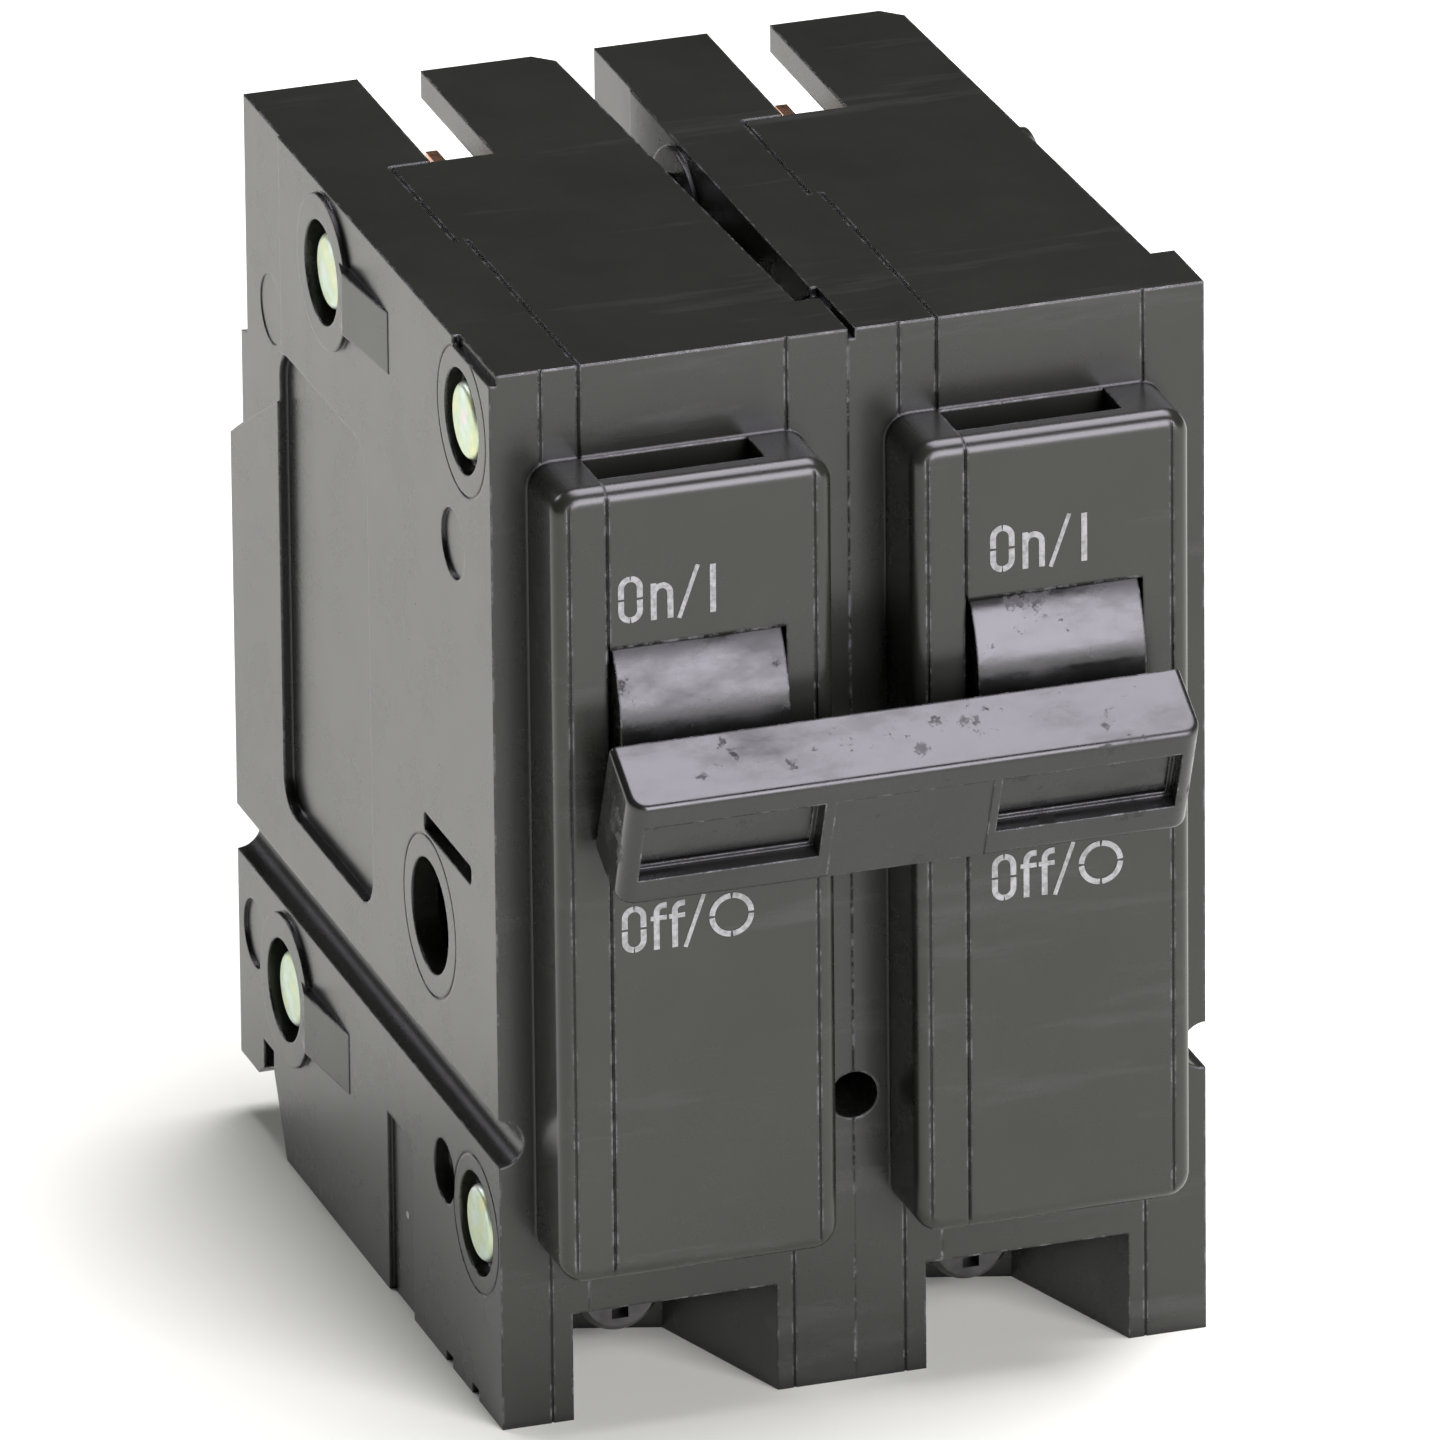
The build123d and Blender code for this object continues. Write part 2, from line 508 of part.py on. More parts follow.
def clamp_screw():
    """Cheese head screw with a cross and slot recess, drawn backed out."""
    screw = rod_y((SCREW_HEAD, SCREW_HEAD + 2.8), (MID, SCREW_Z), 3.0)
    screw = chamfer(screw.edges().sort_by(Axis.Y)[0], 0.4)
    screw += rod_y((SCREW_HEAD + 2.7, PAD_FACE - 0.95), (MID, SCREW_Z), SCREW_R)
    slot = box((MID - 4, MID + 4), (SCREW_HEAD - 1, SCREW_HEAD + 1.3), (SCREW_Z - 0.5, SCREW_Z + 0.5))
    cross = box((MID - 0.6, MID + 0.6), (SCREW_HEAD - 1, SCREW_HEAD + 1.5), (SCREW_Z - 2, SCREW_Z + 2))
    return screw - slot - cross


def braid():
    """Flexible lead from the arm's side tab to the top of the bimetal."""
    start_y, start_z = polar(ARM_PIVOT, 17.5, ARM_OFF_ANGLE, across=-1.0)
    points = [(17.6, start_y, start_z), (17.6, start_y - 0.9, start_z - 4.2),
              (17.6, start_y + 2.2, start_z - 7.6), (17.6, 34.6, 41.0), (17.6, 36.4, 41.0)]
    path = FilletPolyline(*points, radius=[1.5, 2.0, 1.0])
    return sweep(Plane(path @ 0, z_dir=path % 0) * Circle(0.9), path)


# ---- line side -------------------------------------------------------------
def line_jaw():
    """Copper stab jaw and the strap that carries the fixed contact."""
    jaw = box(JAW_X, (39.7, 40.9), (JAW_LOW - 1.0, JAW_HIGH))
    for finger in ((JAW_X[0], JAW_X[0] + FINGER), (JAW_X[1] - FINGER, JAW_X[1])):
        jaw += box(finger, (40.0, 50.5), (JAW_LOW, JAW_HIGH))
    jaw += box(JAW_X, (31.0, 40.9), (STRAP_LOW, JAW_LOW + 0.1))
    return jaw


def jaw_spring():
    """Steel clip that squeezes the jaw's fingers from outside."""
    clip = box(CLIP_X, (CLIP_FRONT[0], 49.0), (63.0, 72.0))
    clip -= box((JAW_X[0] - 0.05, JAW_X[1] + 0.05), (41, 50), (62.0, 73.0))
    bow = box(CLIP_X, CLIP_FRONT, (60.6, 61.4))
    for leaf in ((CLIP_X[0], 8.6), (12.8, CLIP_X[1])):
        bow += box(leaf, CLIP_FRONT, (61.0, 63.5))
    return clip + bow


def fixed_contact():
    """Contact under the line strap, a hair above the closed moving contact."""
    closed_pivot = polar(PIVOT, ARM_PIVOT_R, -ON_TILT)
    bend_y, bend_z = polar(closed_pivot, ARM_BEND, ARM_ON_ANGLE)
    low = bend_z + BLADE_HALF + CONTACT_THICK + CONTACT_GAP
    high = STRAP_LOW
    centre_y = bend_y + ARM_LENGTH - 1.0 - ARM_BEND
    return Pos(MID, centre_y, (low + high) / 2) * Cylinder(CONTACT_R, high - low)


def arc_levels():
    return [ARC_LOW + ARC_STEP * step for step in range(ARC_COUNT)]


def arc_plates():
    """Steel plates, each with a notch that the contact swings through."""
    plates = []
    for level in arc_levels():
        leaf = box((6.0, 17.0), (39.4, 51.0), (level, level + ARC_THICK))
        notch = [(9.0, 38), (14.0, 38), (12.4, 44.5), (10.6, 44.5)]
        plates.append(leaf - Pos(0, 0, level - 1) * extrude(make_face(Polyline(*notch, close=True)), 4))
    return Compound(children=plates)


def arc_frame():
    depth, tall = (39.8, 52.2), (44.6, 56.9)
    frame = box((4.8, 6.3), depth, tall) + box((16.7, 18.2), depth, tall)
    frame += box((4.8, 18.2), (51.3, 52.2), tall)
    for level in arc_levels():
        frame -= box((5.9, 17.1), (38, 51.1), (level - SOCKET_PLAY, level + ARC_THICK + SOCKET_PLAY))
    return frame


# ---- fasteners -------------------------------------------------------------
def through_rivets():
    """Four semi-tubular rivets that clamp both poles together, heads on the left."""
    low, high = -PITCH, PITCH
    rivets = []
    for at in RIVETS:
        shank = rod((low + 0.6, high - 0.7), at, SHANK_R)
        head = rod((low + 0.1, low + 1.2), at, HEAD_R)
        head = fillet(head.faces().sort_by(Axis.X)[0].edges(), 0.5)
        rolled_end = rod((high - 0.9, high - 0.1), at, HEAD_R)
        rivet = shank + head + rolled_end
        rivet -= rod((high - 2.2, high + 1), at, BORE_R)
        rivets.append(rivet)
    return Compound(children=rivets)


def trip_return_spring():
    """Light coil round the trip bar in the left pole."""
    coil = helix_wire(1.0, 3.0, 2.55, 0.3)
    return Pos(14.0 - PITCH + 0.2, TRIP_BAR[0], TRIP_BAR[1]) * Rot(0, 90, 0) * coil


# ---- write the parts -------------------------------------------------------
def save(node, shape, depth_shift):
    """Move a shape into the breaker's frame and write it as one node."""
    placed = Pos(RAMP_PROUD / 2, depth_shift, 0) * shape
    solids = placed.solids()
    placed = solids[0] if len(solids) == 1 else Compound(children=list(solids))
    placed.label = node
    export_step(placed, f"parts/{node}.step")


def pole_parts():
    cover, base = housing_shells()
    return {
        "cover": cover,
        "base": base,
        "handle": handle(),
        "handle_pin": rod((3.5, 21.9), PIVOT, 1.5),
        "arm_pin": rod((7.0, 16.0), ARM_PIVOT, 1.0),
        "cradle_pin": rod((3.5, 21.5), CRADLE_PIVOT, 1.2),
        "armature_pin": rod((3.1, 20.1), ARMATURE_PIVOT, 0.9),
        "contact_arm": contact_arm(),
        "moving_contact": moving_contact(),
        "toggle_spring": toggle_spring(),
        "cradle": cradle(),
        "armature": armature(),
        "bimetal": bimetal(),
        "magnet_yoke": magnet_yoke(),
        "load_strap": load_strap(),
        "calibration_screw": calibration_screw(),
        "terminal_lug": terminal_lug(),
        "clamp_screw": clamp_screw(),
        "pressure_pad": pressure_pad(),
        "braid": braid(),
        "line_jaw": line_jaw(),
        "jaw_spring": jaw_spring(),
        "fixed_contact": fixed_contact(),
        "arc_plates": arc_plates(),
        "arc_frame": arc_frame(),
    }


def build():
    os.makedirs("parts", exist_ok=True)
    tie = tie_bar()
    depth_shift = -(REAR + tie.bounding_box().min.Y) / 2
    print("origin lies", -depth_shift, "behind the front plane")
    parts = pole_parts()
    for side, pole_left in (("left", -PITCH), ("right", 0)):
        for name, shape in parts.items():
            save(f"{side}_{name}", Pos(pole_left, 0, 0) * shape, depth_shift)
    save("handle_tie", tie, depth_shift)
    save("trip_bar", trip_bar(), depth_shift)
    save("through_rivets", through_rivets(), depth_shift)
    save("trip_return_spring", trip_return_spring(), depth_shift)


build()
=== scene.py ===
import json
import math

import bmesh
import bpy
from mathutils import Matrix, Vector


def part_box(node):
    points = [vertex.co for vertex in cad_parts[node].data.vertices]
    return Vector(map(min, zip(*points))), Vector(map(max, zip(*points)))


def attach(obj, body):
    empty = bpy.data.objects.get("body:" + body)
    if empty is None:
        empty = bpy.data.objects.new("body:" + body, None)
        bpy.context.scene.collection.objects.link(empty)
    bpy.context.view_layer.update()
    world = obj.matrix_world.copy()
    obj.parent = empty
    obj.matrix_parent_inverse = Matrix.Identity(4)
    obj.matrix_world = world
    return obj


MM = 0.001

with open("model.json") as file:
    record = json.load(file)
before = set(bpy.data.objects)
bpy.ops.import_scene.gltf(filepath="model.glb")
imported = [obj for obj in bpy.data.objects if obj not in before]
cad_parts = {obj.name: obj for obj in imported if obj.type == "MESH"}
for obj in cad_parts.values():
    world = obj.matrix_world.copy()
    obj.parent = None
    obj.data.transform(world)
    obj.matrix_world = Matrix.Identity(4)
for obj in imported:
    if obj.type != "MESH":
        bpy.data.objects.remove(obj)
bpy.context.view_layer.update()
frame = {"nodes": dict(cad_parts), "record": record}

# ---- landmarks, from the moulded shells themselves
PITCH = 25.4 * MM           # width of one pole
FRONT_TO_BACK = 58.7 * MM   # from the plane that the escutcheons stand on, to the rearmost wall
base_low, base_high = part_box("left_base")
ESCUTCHEON_Y = base_low.y
POLE_LEFT = {side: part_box(side + "_base")[1].x - PITCH for side in ("left", "right")}

# ---- camera: angles in radians, lengths in metres, found by solving the perspective of the real view
AZIMUTH = -0.31995
ELEVATION = 0.39970
ROLL = -0.00993
DISTANCE = 1.779095
SIDEWAYS = -0.00858831
UPWARDS = -0.02626898
TARGET = Vector((POLE_LEFT["right"], base_high.y - FRONT_TO_BACK, base_high.z))
LENS_MM = 661.491
SENSOR_MM = 36.0
NEAREST, FURTHEST = 0.1, 50.0


def camera_axes():
    """The camera's right, up and back directions."""
    back = Vector((math.sin(AZIMUTH) * math.cos(ELEVATION), -math.cos(AZIMUTH) * math.cos(ELEVATION),
                   math.sin(ELEVATION)))
    across = Vector((0, 0, 1)).cross(back).normalized()
    up = back.cross(across)
    along, aside = math.cos(ROLL), math.sin(ROLL)
    return along * across + aside * up, along * up - aside * across, back


def make_camera():
    right, up, back = camera_axes()
    data = bpy.data.cameras.new("camera")
    data.lens = LENS_MM
    data.sensor_width = SENSOR_MM
    data.clip_start, data.clip_end = NEAREST, FURTHEST
    camera = bpy.data.objects.new("camera", data)
    bpy.context.scene.collection.objects.link(camera)
    camera.matrix_world = Matrix((right, up, back)).transposed().to_4x4()
    camera.location = TARGET + right * SIDEWAYS + up * UPWARDS + back * DISTANCE
    bpy.context.scene.camera = camera


# ---- noise patterns, each with its scale per metre, its detail and how rough that detail is
CLOUDS = (70.0, 5.0, 0.6)
FINE_CLOUDS = (90.0, 5.0, 0.6)
CHIPS = (620.0, 6.0, 0.75)
FINE_CHIPS = (700.0, 6.0, 0.75)
STREAKS = (38.0, 5.0, 0.62)
SMUDGES = (160.0, 6.0, 0.65)
GRAIN = (3200.0, 3.0, 0.6)
GREASE = (150.0, 6.0, 0.66)
RUBBED_SPOTS = (310.0, 8.0, 0.7)
DENTS = (520.0, 5.0, 0.65)
METAL_MOTTLE = (420.0, 5.0, 0.6)
METAL_MARKS = (1500.0, 4.0, 0.6)
CHROMATE_FILM = (520.0, 3.0, 0.5)
FIBRES = (900.0, 6.0, 0.7)
THIN_INK = (2600.0, 4.0, 0.6)
PAPER = (3.0, 4.0, 0.5)

SHADER_SAMPLES = 6              # rays for each rounded edge and for the painted shade in each joint
FLAT_TO_EDGE = (0.985, 0.90)    # how well two normals agree on a flat face, and on a rounded edge
JOINT_TO_OPEN = (0.55, 0.92)    # share of open sky down in a joint, and on a free face


# ---- materials
class Graph:
    """A material's node tree, with short calls for the nodes that the finishes share."""

    def __init__(self, name):
        self.material = bpy.data.materials.new(name)
        self.material.use_nodes = True
        self.tree = self.material.node_tree
        self.shader = self.tree.nodes["Principled BSDF"]
        texture_coords = self.tree.nodes.new("ShaderNodeTexCoord")
        self.coords = texture_coords.outputs["Object"]
        self.facing = texture_coords.outputs["Normal"]

    def node(self, kind, **settings):
        made = self.tree.nodes.new("ShaderNode" + kind)
        for key, value in settings.items():
            setattr(made, key, value)
        return made

    def link(self, source, target):
        self.tree.links.new(source, target)

    def stretched(self, scale):
        """The object's coordinates, stretched by a factor for each axis."""
        mapping = self.node("Mapping")
        mapping.inputs["Scale"].default_value = scale
        self.link(self.coords, mapping.inputs["Vector"])
        return mapping.outputs["Vector"]

    def noise(self, pattern, stretch=None):
        """One of the noise patterns, stretched along the axes if a factor is given for each."""
        made = self.node("TexNoise")
        for key, value in zip(("Scale", "Detail", "Roughness"), pattern):
            made.inputs[key].default_value = value
        self.link(self.stretched(stretch) if stretch else self.coords, made.inputs["Vector"])
        return made.outputs["Fac"]

    def ramp(self, source, *stops):
        """Colours, each given after its place along 0 to 1."""
        made = self.node("ValToRGB")
        elements = made.color_ramp.elements
        while len(elements) < len(stops):
            elements.new(0.5)
        for element, (place, colour) in zip(elements, stops):
            element.position = place
            element.color = (*colour, 1.0)
        self.link(source, made.inputs["Fac"])
        return made.outputs["Color"]

    def fit(self, source, given, wanted=(0.0, 1.0)):
        """The source, moved from one range of values to another and held inside it."""
        made = self.node("MapRange")
        for key, value in zip(("From Min", "From Max", "To Min", "To Max"), (*given, *wanted)):
            made.inputs[key].default_value = value
        self.link(source, made.inputs["Value"])
        return made.outputs["Result"]

    def mix(self, factor, first, second):
        """The first colour where the factor is 0, and the second where it is 1."""
        made = self.node("Mix", data_type="RGBA")
        self.link(factor, made.inputs["Factor"])
        inputs = [socket for socket in made.inputs if socket.type == "RGBA"]
        for socket, value in zip(inputs, (first, second)):
            if isinstance(value, tuple):
                socket.default_value = (*value, 1.0)
            else:
                self.link(value, socket)
        return next(socket for socket in made.outputs if socket.type == "RGBA")

    def math(self, operation, first, second):
        made = self.node("Math", operation=operation)
        for socket, value in zip(made.inputs, (first, second)):
            if isinstance(value, float):
                socket.default_value = value
            else:
                self.link(value, socket)
        return made.outputs["Value"]

    def bump(self, height, depth_mm, normal=None):
        made = self.node("Bump")
        made.inputs["Strength"].default_value = 1.0
        made.inputs["Distance"].default_value = depth_mm * MM
        self.link(height, made.inputs["Height"])
        if normal is not None:
            self.link(normal, made.inputs["Normal"])
        return made.outputs["Normal"]

    def rounded(self, radius_mm):
        """Normals rounded off at the edges, and a mask that is 1 along those edges."""
        soft = self.node("Bevel", samples=SHADER_SAMPLES)
        soft.inputs["Radius"].default_value = radius_mm * MM
        facing = self.node("VectorTransform", vector_type="NORMAL",
                           convert_from="OBJECT", convert_to="WORLD")
        self.link(self.facing, facing.inputs[0])
        agree = self.node("VectorMath", operation="DOT_PRODUCT")
        self.link(soft.outputs["Normal"], agree.inputs[0])
        self.link(facing.outputs[0], agree.inputs[1])
        return soft.outputs["Normal"], self.fit(agree.outputs["Value"], FLAT_TO_EDGE)

    def open_air(self, reach_mm):
        """1 on open faces, falling to 0 down in joints and grooves."""
        hemmed = self.node("AmbientOcclusion", samples=SHADER_SAMPLES)
        hemmed.inputs["Distance"].default_value = reach_mm * MM
        return self.fit(hemmed.outputs["AO"], JOINT_TO_OPEN)

    def specks(self, cells_per_metre, size, share):
        """1 on sparse round specks: size is a share of the cell, and share is how many cells have one."""
        made = self.node("TexVoronoi")
        made.inputs["Scale"].default_value = cells_per_metre
        self.link(self.coords, made.inputs["Vector"])
        near = self.math("LESS_THAN", made.outputs["Distance"], size)
        chosen = self.math("GREATER_THAN", made.outputs["Color"], 1.0 - share)
        return self.math("MULTIPLY", near, chosen)

    def chipped(self, colour, edge, outer, chips, pale):
        """Small pale chips along the edges, but not down in the joints."""
        worn = self.math("MULTIPLY", self.math("MULTIPLY", edge, chips), outer)
        return self.mix(worn, colour, pale)

    def set(self, **values):
        for key, value in values.items():
            socket = self.shader.inputs[key.replace("_", " ")]
            if isinstance(value, (float, tuple)):
                socket.default_value = (*value, 1.0) if isinstance(value, tuple) else value
            else:
                self.link(value, socket)
        return self.material


def moulded_plastic(name, dark, light, roughness, uneven, grain_mm):
    """Dark thermoset: cloudy colour, fine grain, chipped pale edges, painted shade in the joints, scuffs
    and dust.
    """
    g = Graph(name)
    normal, edge = g.rounded(0.28)
    outer = g.open_air(0.8)
    cloudy = g.ramp(g.noise(CLOUDS), (0.3, dark), (0.7, light))
    chips = g.fit(g.noise(CHIPS), (0.49, 0.62), (0.0, 0.85))
    chipped = g.chipped(cloudy, edge, outer, chips, pale=(0.18, 0.18, 0.185))
    dusty = g.mix(g.specks(170.0, size=0.05, share=0.16), chipped, (0.34, 0.34, 0.32))
    streaks = g.fit(g.noise(STREAKS, stretch=(1.0, 8.0, 8.0)), (0.58, 0.72), (0.0, 0.5))
    scuffed = g.mix(streaks, dusty, (0.034, 0.035, 0.032))
    # painted shade: the colour goes near black down in joints and grooves, where ambient occlusion finds
    # little open sky
    painted_joint_shade = g.mix(outer, (0.002, 0.002, 0.002), scuffed)
    smudges = g.fit(g.noise(SMUDGES), (0.35, 0.7), (roughness - uneven, roughness + uneven))
    grain = g.bump(g.noise(GRAIN), grain_mm, normal)
    return g.set(Base_Color=painted_joint_shade, Roughness=smudges, Normal=grain, IOR=1.5)


def handled_plastic(name, dark, light):
    """The same thermoset where fingers polish it: glossy, with cloudy grease and dull rubbed spots."""
    g = Graph(name)
    normal, edge = g.rounded(0.22)
    outer = g.open_air(0.6)
    cloudy = g.ramp(g.noise(FINE_CLOUDS), (0.3, dark), (0.7, light))
    chips = g.fit(g.noise(FINE_CHIPS), (0.50, 0.64), (0.0, 0.8))
    chipped = g.chipped(cloudy, edge, outer, chips, pale=(0.22, 0.22, 0.23))
    dusty = g.mix(g.specks(260.0, size=0.05, share=0.14), chipped, (0.40, 0.40, 0.39))
    film = g.fit(g.noise(GREASE, stretch=(0.5, 1.0, 1.0)), (0.42, 0.66), (0.14, 0.46))
    spots = g.fit(g.noise(RUBBED_SPOTS), (0.60, 0.64), (0.0, 0.34))
    dents = g.bump(g.noise(DENTS), 0.012, normal)
    return g.set(Base_Color=dusty, Roughness=g.math("ADD", film, spots), Normal=dents, IOR=1.5)


def plated_metal(name, dark, light, roughness, brushed=(1.0, 1.0, 12.0)):
    """Plated or drawn metal: mottled colour, fine directional marks and uneven polish."""
    g = Graph(name)
    colour = g.ramp(g.noise(METAL_MOTTLE), (0.32, dark), (0.68, light))
    marks = g.noise(METAL_MARKS, brushed)
    uneven = g.fit(marks, (0.3, 0.7), (roughness - 0.08, roughness + 0.1))
    return g.set(Base_Color=colour, Metallic=1.0, Roughness=uneven, Normal=g.bump(marks, 0.006))


def chromate_rivet(name):
    """Zinc with a yellow chromate film: patches of green, straw and a little pink."""
    g = Graph(name)
    straw, green = (0.66, 0.67, 0.42), (0.54, 0.64, 0.47)
    mint, pink = (0.60, 0.70, 0.63), (0.76, 0.62, 0.61)
    film = g.ramp(g.noise(CHROMATE_FILM), (0.30, straw), (0.48, green), (0.60, mint), (0.72, pink))
    marks = g.noise(METAL_MARKS)
    normal, edge = g.rounded(0.15)
    worn = g.mix(g.math("MULTIPLY", edge, 0.4), film, (0.75, 0.75, 0.70))
    return g.set(Base_Color=worn, Metallic=0.85, Roughness=g.fit(marks, (0.3, 0.7), (0.34, 0.5)),
                 Normal=g.bump(marks, 0.004, normal))


def fibre_board(name, dark, light):
    """Brown pressed board with strands that lie mostly one way."""
    g = Graph(name)
    strands = g.noise(FIBRES, stretch=(1.0, 6.0, 1.0))
    colour = g.ramp(strands, (0.3, dark), (0.7, light))
    return g.set(Base_Color=colour, Roughness=g.fit(strands, (0.3, 0.7), (0.7, 0.9)),
                 Normal=g.bump(strands, 0.02))


def legend_ink(name):
    """Pad-printed light grey ink, a little thin in places."""
    g = Graph(name)
    cover = g.fit(g.noise(THIN_INK), (0.35, 0.6))
    colour = g.mix(cover, (0.14, 0.145, 0.135), (0.245, 0.25, 0.245))
    return g.set(Base_Color=colour, Roughness=g.fit(cover, (0.0, 1.0), (0.6, 0.45)),
                 Normal=g.bump(cover, 0.004))


def finishes():
    """A material for each slot that the pieces name."""
    return {
        "housing": moulded_plastic("moulded_housing", (0.0098, 0.0108, 0.0078), (0.0142, 0.0154, 0.0114),
                                   0.27, 0.02, 0.002),
        "handle": handled_plastic("moulded_handle", (0.006, 0.0065, 0.0056), (0.010, 0.0106, 0.0092)),
        "trip_bar": moulded_plastic("moulded_trip_bar", (0.014, 0.014, 0.013), (0.02, 0.02, 0.019),
                                    0.45, 0.05, 0.006),
        "steel": plated_metal("zinc_steel", (0.42, 0.43, 0.44), (0.60, 0.61, 0.62), 0.34),
        "screw_steel": plated_metal("blackened_screw", (0.05, 0.05, 0.048), (0.10, 0.10, 0.095), 0.42),
        "copper": plated_metal("copper_sheet", (0.50, 0.24, 0.14), (0.80, 0.46, 0.30), 0.30),
        "silver": plated_metal("silver_contact", (0.70, 0.70, 0.69), (0.86, 0.86, 0.84), 0.25),
        "spring_steel": plated_metal("spring_steel", (0.24, 0.24, 0.25), (0.40, 0.40, 0.41), 0.30),
        "bimetal": plated_metal("bimetal_strip", (0.44, 0.41, 0.35), (0.60, 0.57, 0.50), 0.32),
        "lug": plated_metal("tinned_lug", (0.58, 0.59, 0.60), (0.76, 0.77, 0.78), 0.30),
        "braid": plated_metal("copper_braid", (0.42, 0.20, 0.12), (0.66, 0.38, 0.25), 0.42,
                              brushed=(1.0, 8.0, 1.0)),
        "fibre": fibre_board("vulcanised_fibre", (0.16, 0.09, 0.06), (0.28, 0.18, 0.12)),
        "rivet": chromate_rivet("yellow_chromate_rivet"),
    }


def paint_frame(made):
    """Gives each piece the material of its slot."""
    slots = {row["node"]: row["material_slot"] for row in frame["record"]["subparts"]}
    for node, piece in frame["nodes"].items():
        piece.data.materials.clear()
        piece.data.materials.append(made[slots[node]])


# ---- printed legends, drawn in millimetres from the lower left corner of each word
CAP_HEIGHT = 3.4
SMALL_HEIGHT = 2.65
STROKE = 0.42
RING_STROKE = 0.40
CROSS_STROKE = 0.34
THIN_STROKE = 0.30
STENCIL_GAP = 0.16
INK_DEPTH = 0.02
INK_STEP = 0.002        # each stroke stands a little higher than the last, so that none share a face


def arc(centre, radius, start, end, steps=10):
    """Points on a circle, with angles in degrees."""
    turned = [math.radians(start + (end - start) * i / steps) for i in range(steps + 1)]
    return [(centre[0] + radius * math.cos(t), centre[1] + radius * math.sin(t)) for t in turned]


def letter_o(width=1.75):
    """A condensed stencil O, in four strokes."""
    across, upright = width - STROKE, CAP_HEIGHT - STROKE
    radius = across / 2
    half_gap = STENCIL_GAP / 2
    short_of_top = half_gap * 40        # in degrees
    quarters = []
    for side, start in ((1, 0), (-1, 180)):
        x = radius + side * radius
        upper = arc((radius, upright - radius), radius, start, 90 - side * short_of_top)
        lower = arc((radius, radius), radius, -start, -90 + side * short_of_top)
        quarters.append([(x, upright / 2 + half_gap)] + upper)
        quarters.append([(x, upright / 2 - half_gap)] + lower)
    return [([(x + STROKE / 2, z + STROKE / 2) for x, z in points], STROKE) for points in quarters]


def letter_n(width=1.6):
    left, right = STROKE / 2, width - STROKE / 2
    radius = (right - left) / 2
    top = SMALL_HEIGHT - STROKE / 2
    hump = arc((right - radius, top - radius), radius, 180, 0)
    return [([(left, 0), (left, SMALL_HEIGHT)], STROKE), (hump + [(right, 0)], STROKE)]


def letter_f(width=1.15, stem=0.42, bend=0.5, cross_height=2.3):
    top = CAP_HEIGHT - STROKE / 2
    hook = arc((stem + bend, top - bend), bend, 180, 90, 6)
    return [([(stem, 0)] + hook + [(width, top)], STROKE),
            ([(0, cross_height), (width, cross_height)], CROSS_STROKE)]


def slash(width=1.35, height=3.7):
    return [([(0, 0), (width, height)], THIN_STROKE)]


def bar(height=3.5):
    return [([(STROKE / 2, 0), (STROKE / 2, height)], STROKE)]


def ring(radius=1.4):
    """A stencil circle, in four strokes."""
    gap = math.degrees(STENCIL_GAP / 2 / radius)
    centre = (radius + STROKE / 2, radius + STROKE / 2)
    return [(arc(centre, radius, q + gap, q + 90 - gap), RING_STROKE) for q in (0, 90, 180, 270)]


def word(parts):
    """Strokes of several glyphs, each given with where it starts along the line and above it."""
    strokes = []
    for glyph, along, above in parts:
        for points, width in glyph:
            strokes.append(([(x + along, z + above) for x, z in points], width))
    return strokes


def stroke_sides(points, width):
    """For each point of a stroke, the points half its width to the left and to the right."""
    sides = []
    for i, (x, z) in enumerate(points):
        before = points[max(i - 1, 0)]
        after = points[min(i + 1, len(points) - 1)]
        dx, dz = after[0] - before[0], after[1] - before[1]
        length = math.hypot(dx, dz)
        nx, nz = -dz / length * width / 2, dx / length * width / 2
        sides.append([(x + nx, z + nz), (x - nx, z - nz)])
    return sides


def ribbon(bm, points, width, at, thickness):
    """A flat printed stroke with a little thickness, standing on the escutcheon."""
    rings = []
    for left, right in stroke_sides(points, width):
        corners = [(left, 0.0), (left, thickness), (right, thickness), (right, 0.0)]
        rings.append([bm.verts.new(at + Vector((p[0], -out, p[1])) * MM) for p, out in corners])
    for a, b in zip(rings, rings[1:]):
        for k in range(4):
            bm.faces.new((a[k], a[(k + 1) % 4], b[(k + 1) % 4], b[k]))
    bm.faces.new(rings[0])
    bm.faces.new(rings[-1])


def print_word(name, strokes, at, ink):
    bm = bmesh.new()
    for order, (points, width) in enumerate(strokes):
        ribbon(bm, points, width, at, INK_DEPTH + order * INK_STEP)
    bmesh.ops.recalc_face_normals(bm, faces=bm.faces)
    mesh = bpy.data.meshes.new(name)
    bm.to_mesh(mesh)
    bm.free()
    mesh.materials.append(ink)
    piece = bpy.data.objects.new(name, mesh)
    bpy.context.scene.collection.objects.link(piece)
    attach(piece, "housing")


LEGEND_INSET = {"left": 7.0, "right": 8.0}     # from each pole's left face
ON_HEIGHT = 60.8
OFF_HEIGHT = 36.7


def print_legends(ink):
    """The on and off legends of both poles."""
    on = word([(letter_o(), 0, 0), (letter_n(), 2.3, 0), (slash(), 4.3, -0.1), (bar(), 6.5, 0)])
    off = word([(letter_o(), 0, 0), (letter_f(), 2.05, 0), (letter_f(), 3.35, 0), (slash(), 4.5, -0.1),
                (ring(), 6.2, 0.2)])
    for side, left in POLE_LEFT.items():
        x = left + LEGEND_INSET[side] * MM
        print_word(side + "_on_legend", on, Vector((x, ESCUTCHEON_Y, ON_HEIGHT * MM)), ink)
        print_word(side + "_off_legend", off, Vector((x, ESCUTCHEON_Y, OFF_HEIGHT * MM)), ink)


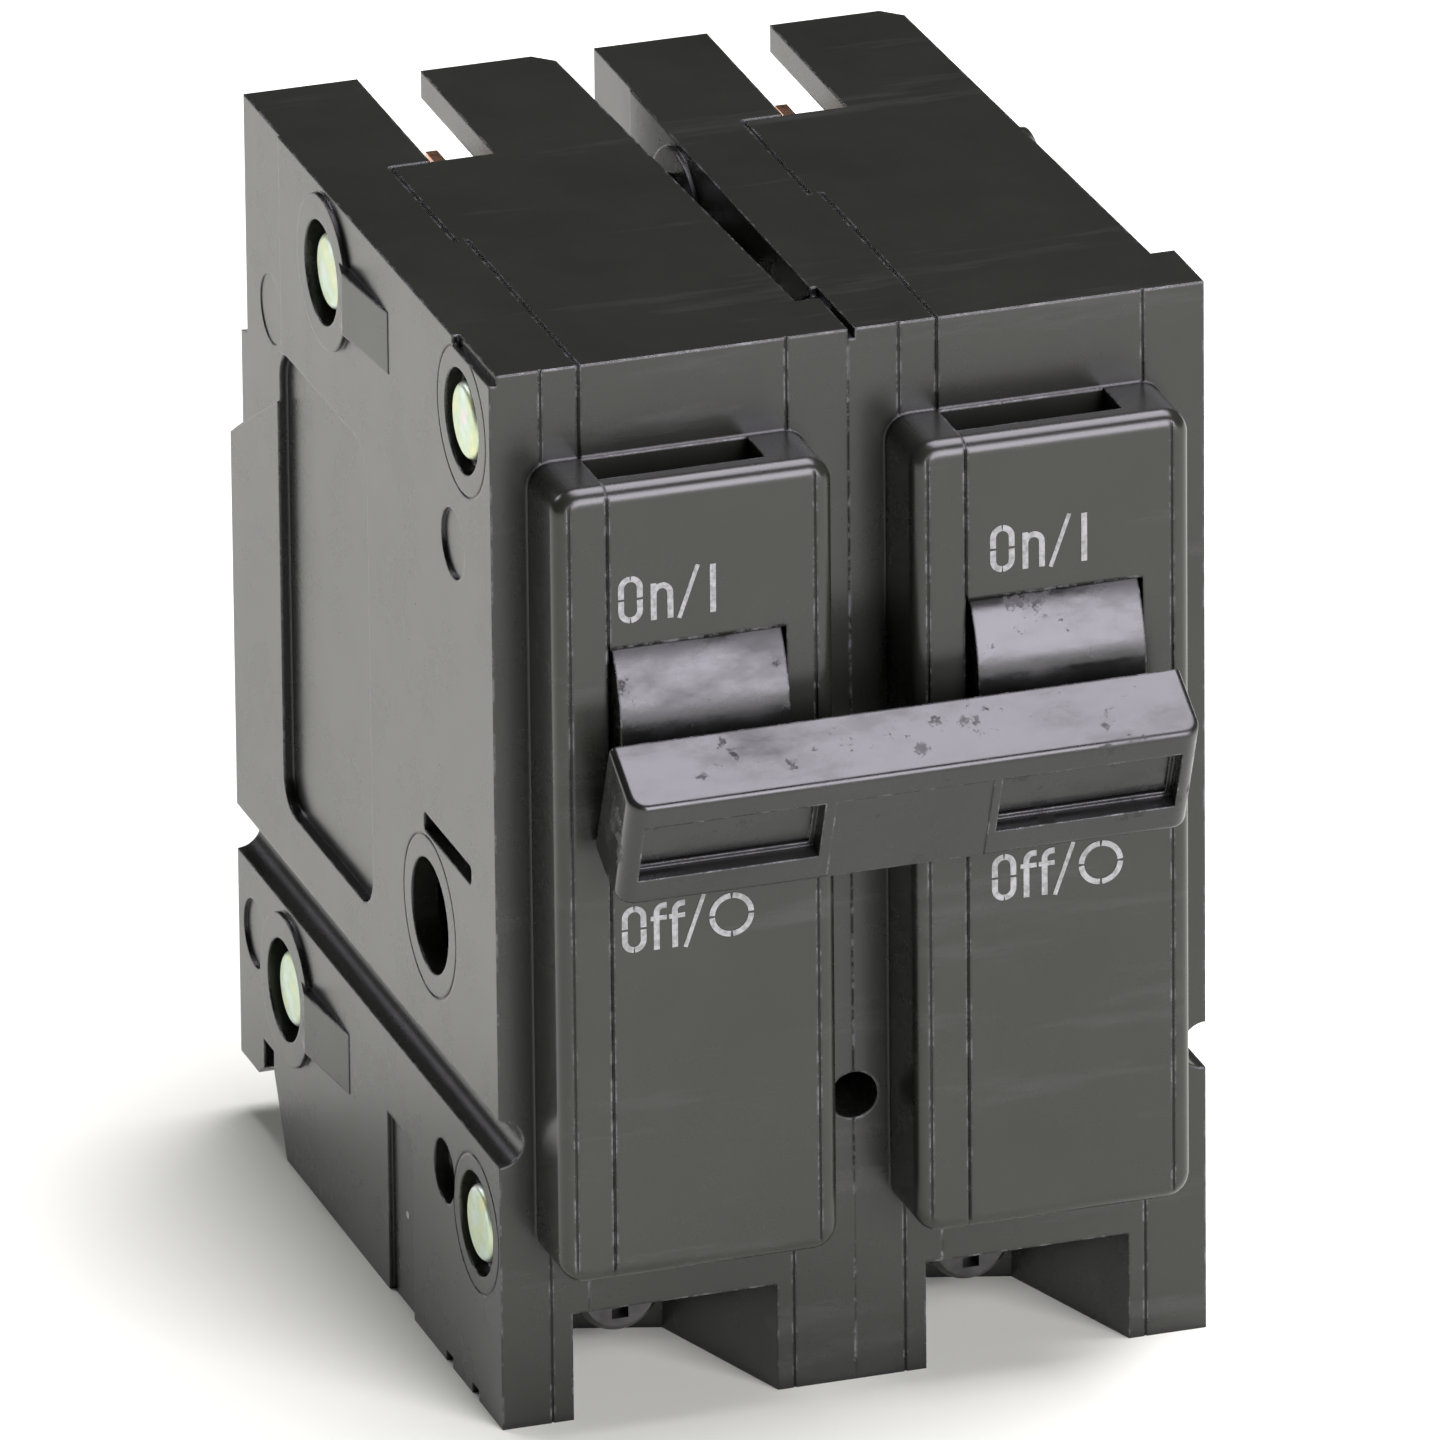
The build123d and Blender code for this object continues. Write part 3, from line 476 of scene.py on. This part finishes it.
# ---- studio
FLOOR_HALF = 6.0
LILAC = (0.935, 0.885, 1.0)
SKY = (0.80, 0.82, 0.78, 1.0)
SKY_STRENGTH = 0.07
# name: place, what it faces, size, radiance
SOFTBOXES = {
    "overhead": ((0.40, 0.10, 1.55), (0.0, 0.0, 0.04), (1.3, 1.1), 9.4),
    "front_right": ((0.5, -1.52, 0.62), (0.0, 0.0, 0.62), (1.2, 1.2), 12.0),
    "behind_left_floor": ((-0.9, 1.2, 0.9), (-0.35, 0.75, 0.0), (0.5, 0.5), 10.0),
}


def make_floor():
    bm = bmesh.new()
    corners = [(-1, -1), (1, -1), (1, 1), (-1, 1)]
    bm.faces.new([bm.verts.new((x * FLOOR_HALF, y * FLOOR_HALF, 0.0)) for x, y in corners])
    mesh = bpy.data.meshes.new("floor")
    bm.to_mesh(mesh)
    bm.free()
    g = Graph("floor_paper")
    tone = g.ramp(g.noise(PAPER), (0.3, (0.86, 0.90, 0.77)), (0.7, (0.89, 0.93, 0.80)))
    mesh.materials.append(g.set(Base_Color=tone, Roughness=0.9, Specular_IOR_Level=0.1))
    floor = bpy.data.objects.new("floor", mesh)
    bpy.context.scene.collection.objects.link(floor)


def softbox(name, place, target, size, radiance):
    """A rectangular light of even radiance, which the camera doesn't see."""
    data = bpy.data.lights.new(name, "AREA")
    data.shape = "RECTANGLE"
    data.size, data.size_y = size
    data.energy = radiance * math.pi * size[0] * size[1]
    data.color = LILAC
    light = bpy.data.objects.new(name, data)
    light.location = place
    light.rotation_euler = (Vector(place) - Vector(target)).to_track_quat("Z", "Y").to_euler()
    light.visible_camera = False
    bpy.context.scene.collection.objects.link(light)


def make_light():
    for name, settings in SOFTBOXES.items():
        softbox(name, *settings)
    world = bpy.data.worlds.new("studio")
    world.use_nodes = True
    background = world.node_tree.nodes["Background"]
    background.inputs["Color"].default_value = SKY
    background.inputs["Strength"].default_value = SKY_STRENGTH
    bpy.context.scene.world = world
    bpy.context.scene.view_settings.view_transform = "Standard"


make_camera()
make_floor()
make_light()
paint_frame(finishes())
print_legends(legend_ink("legend_ink"))
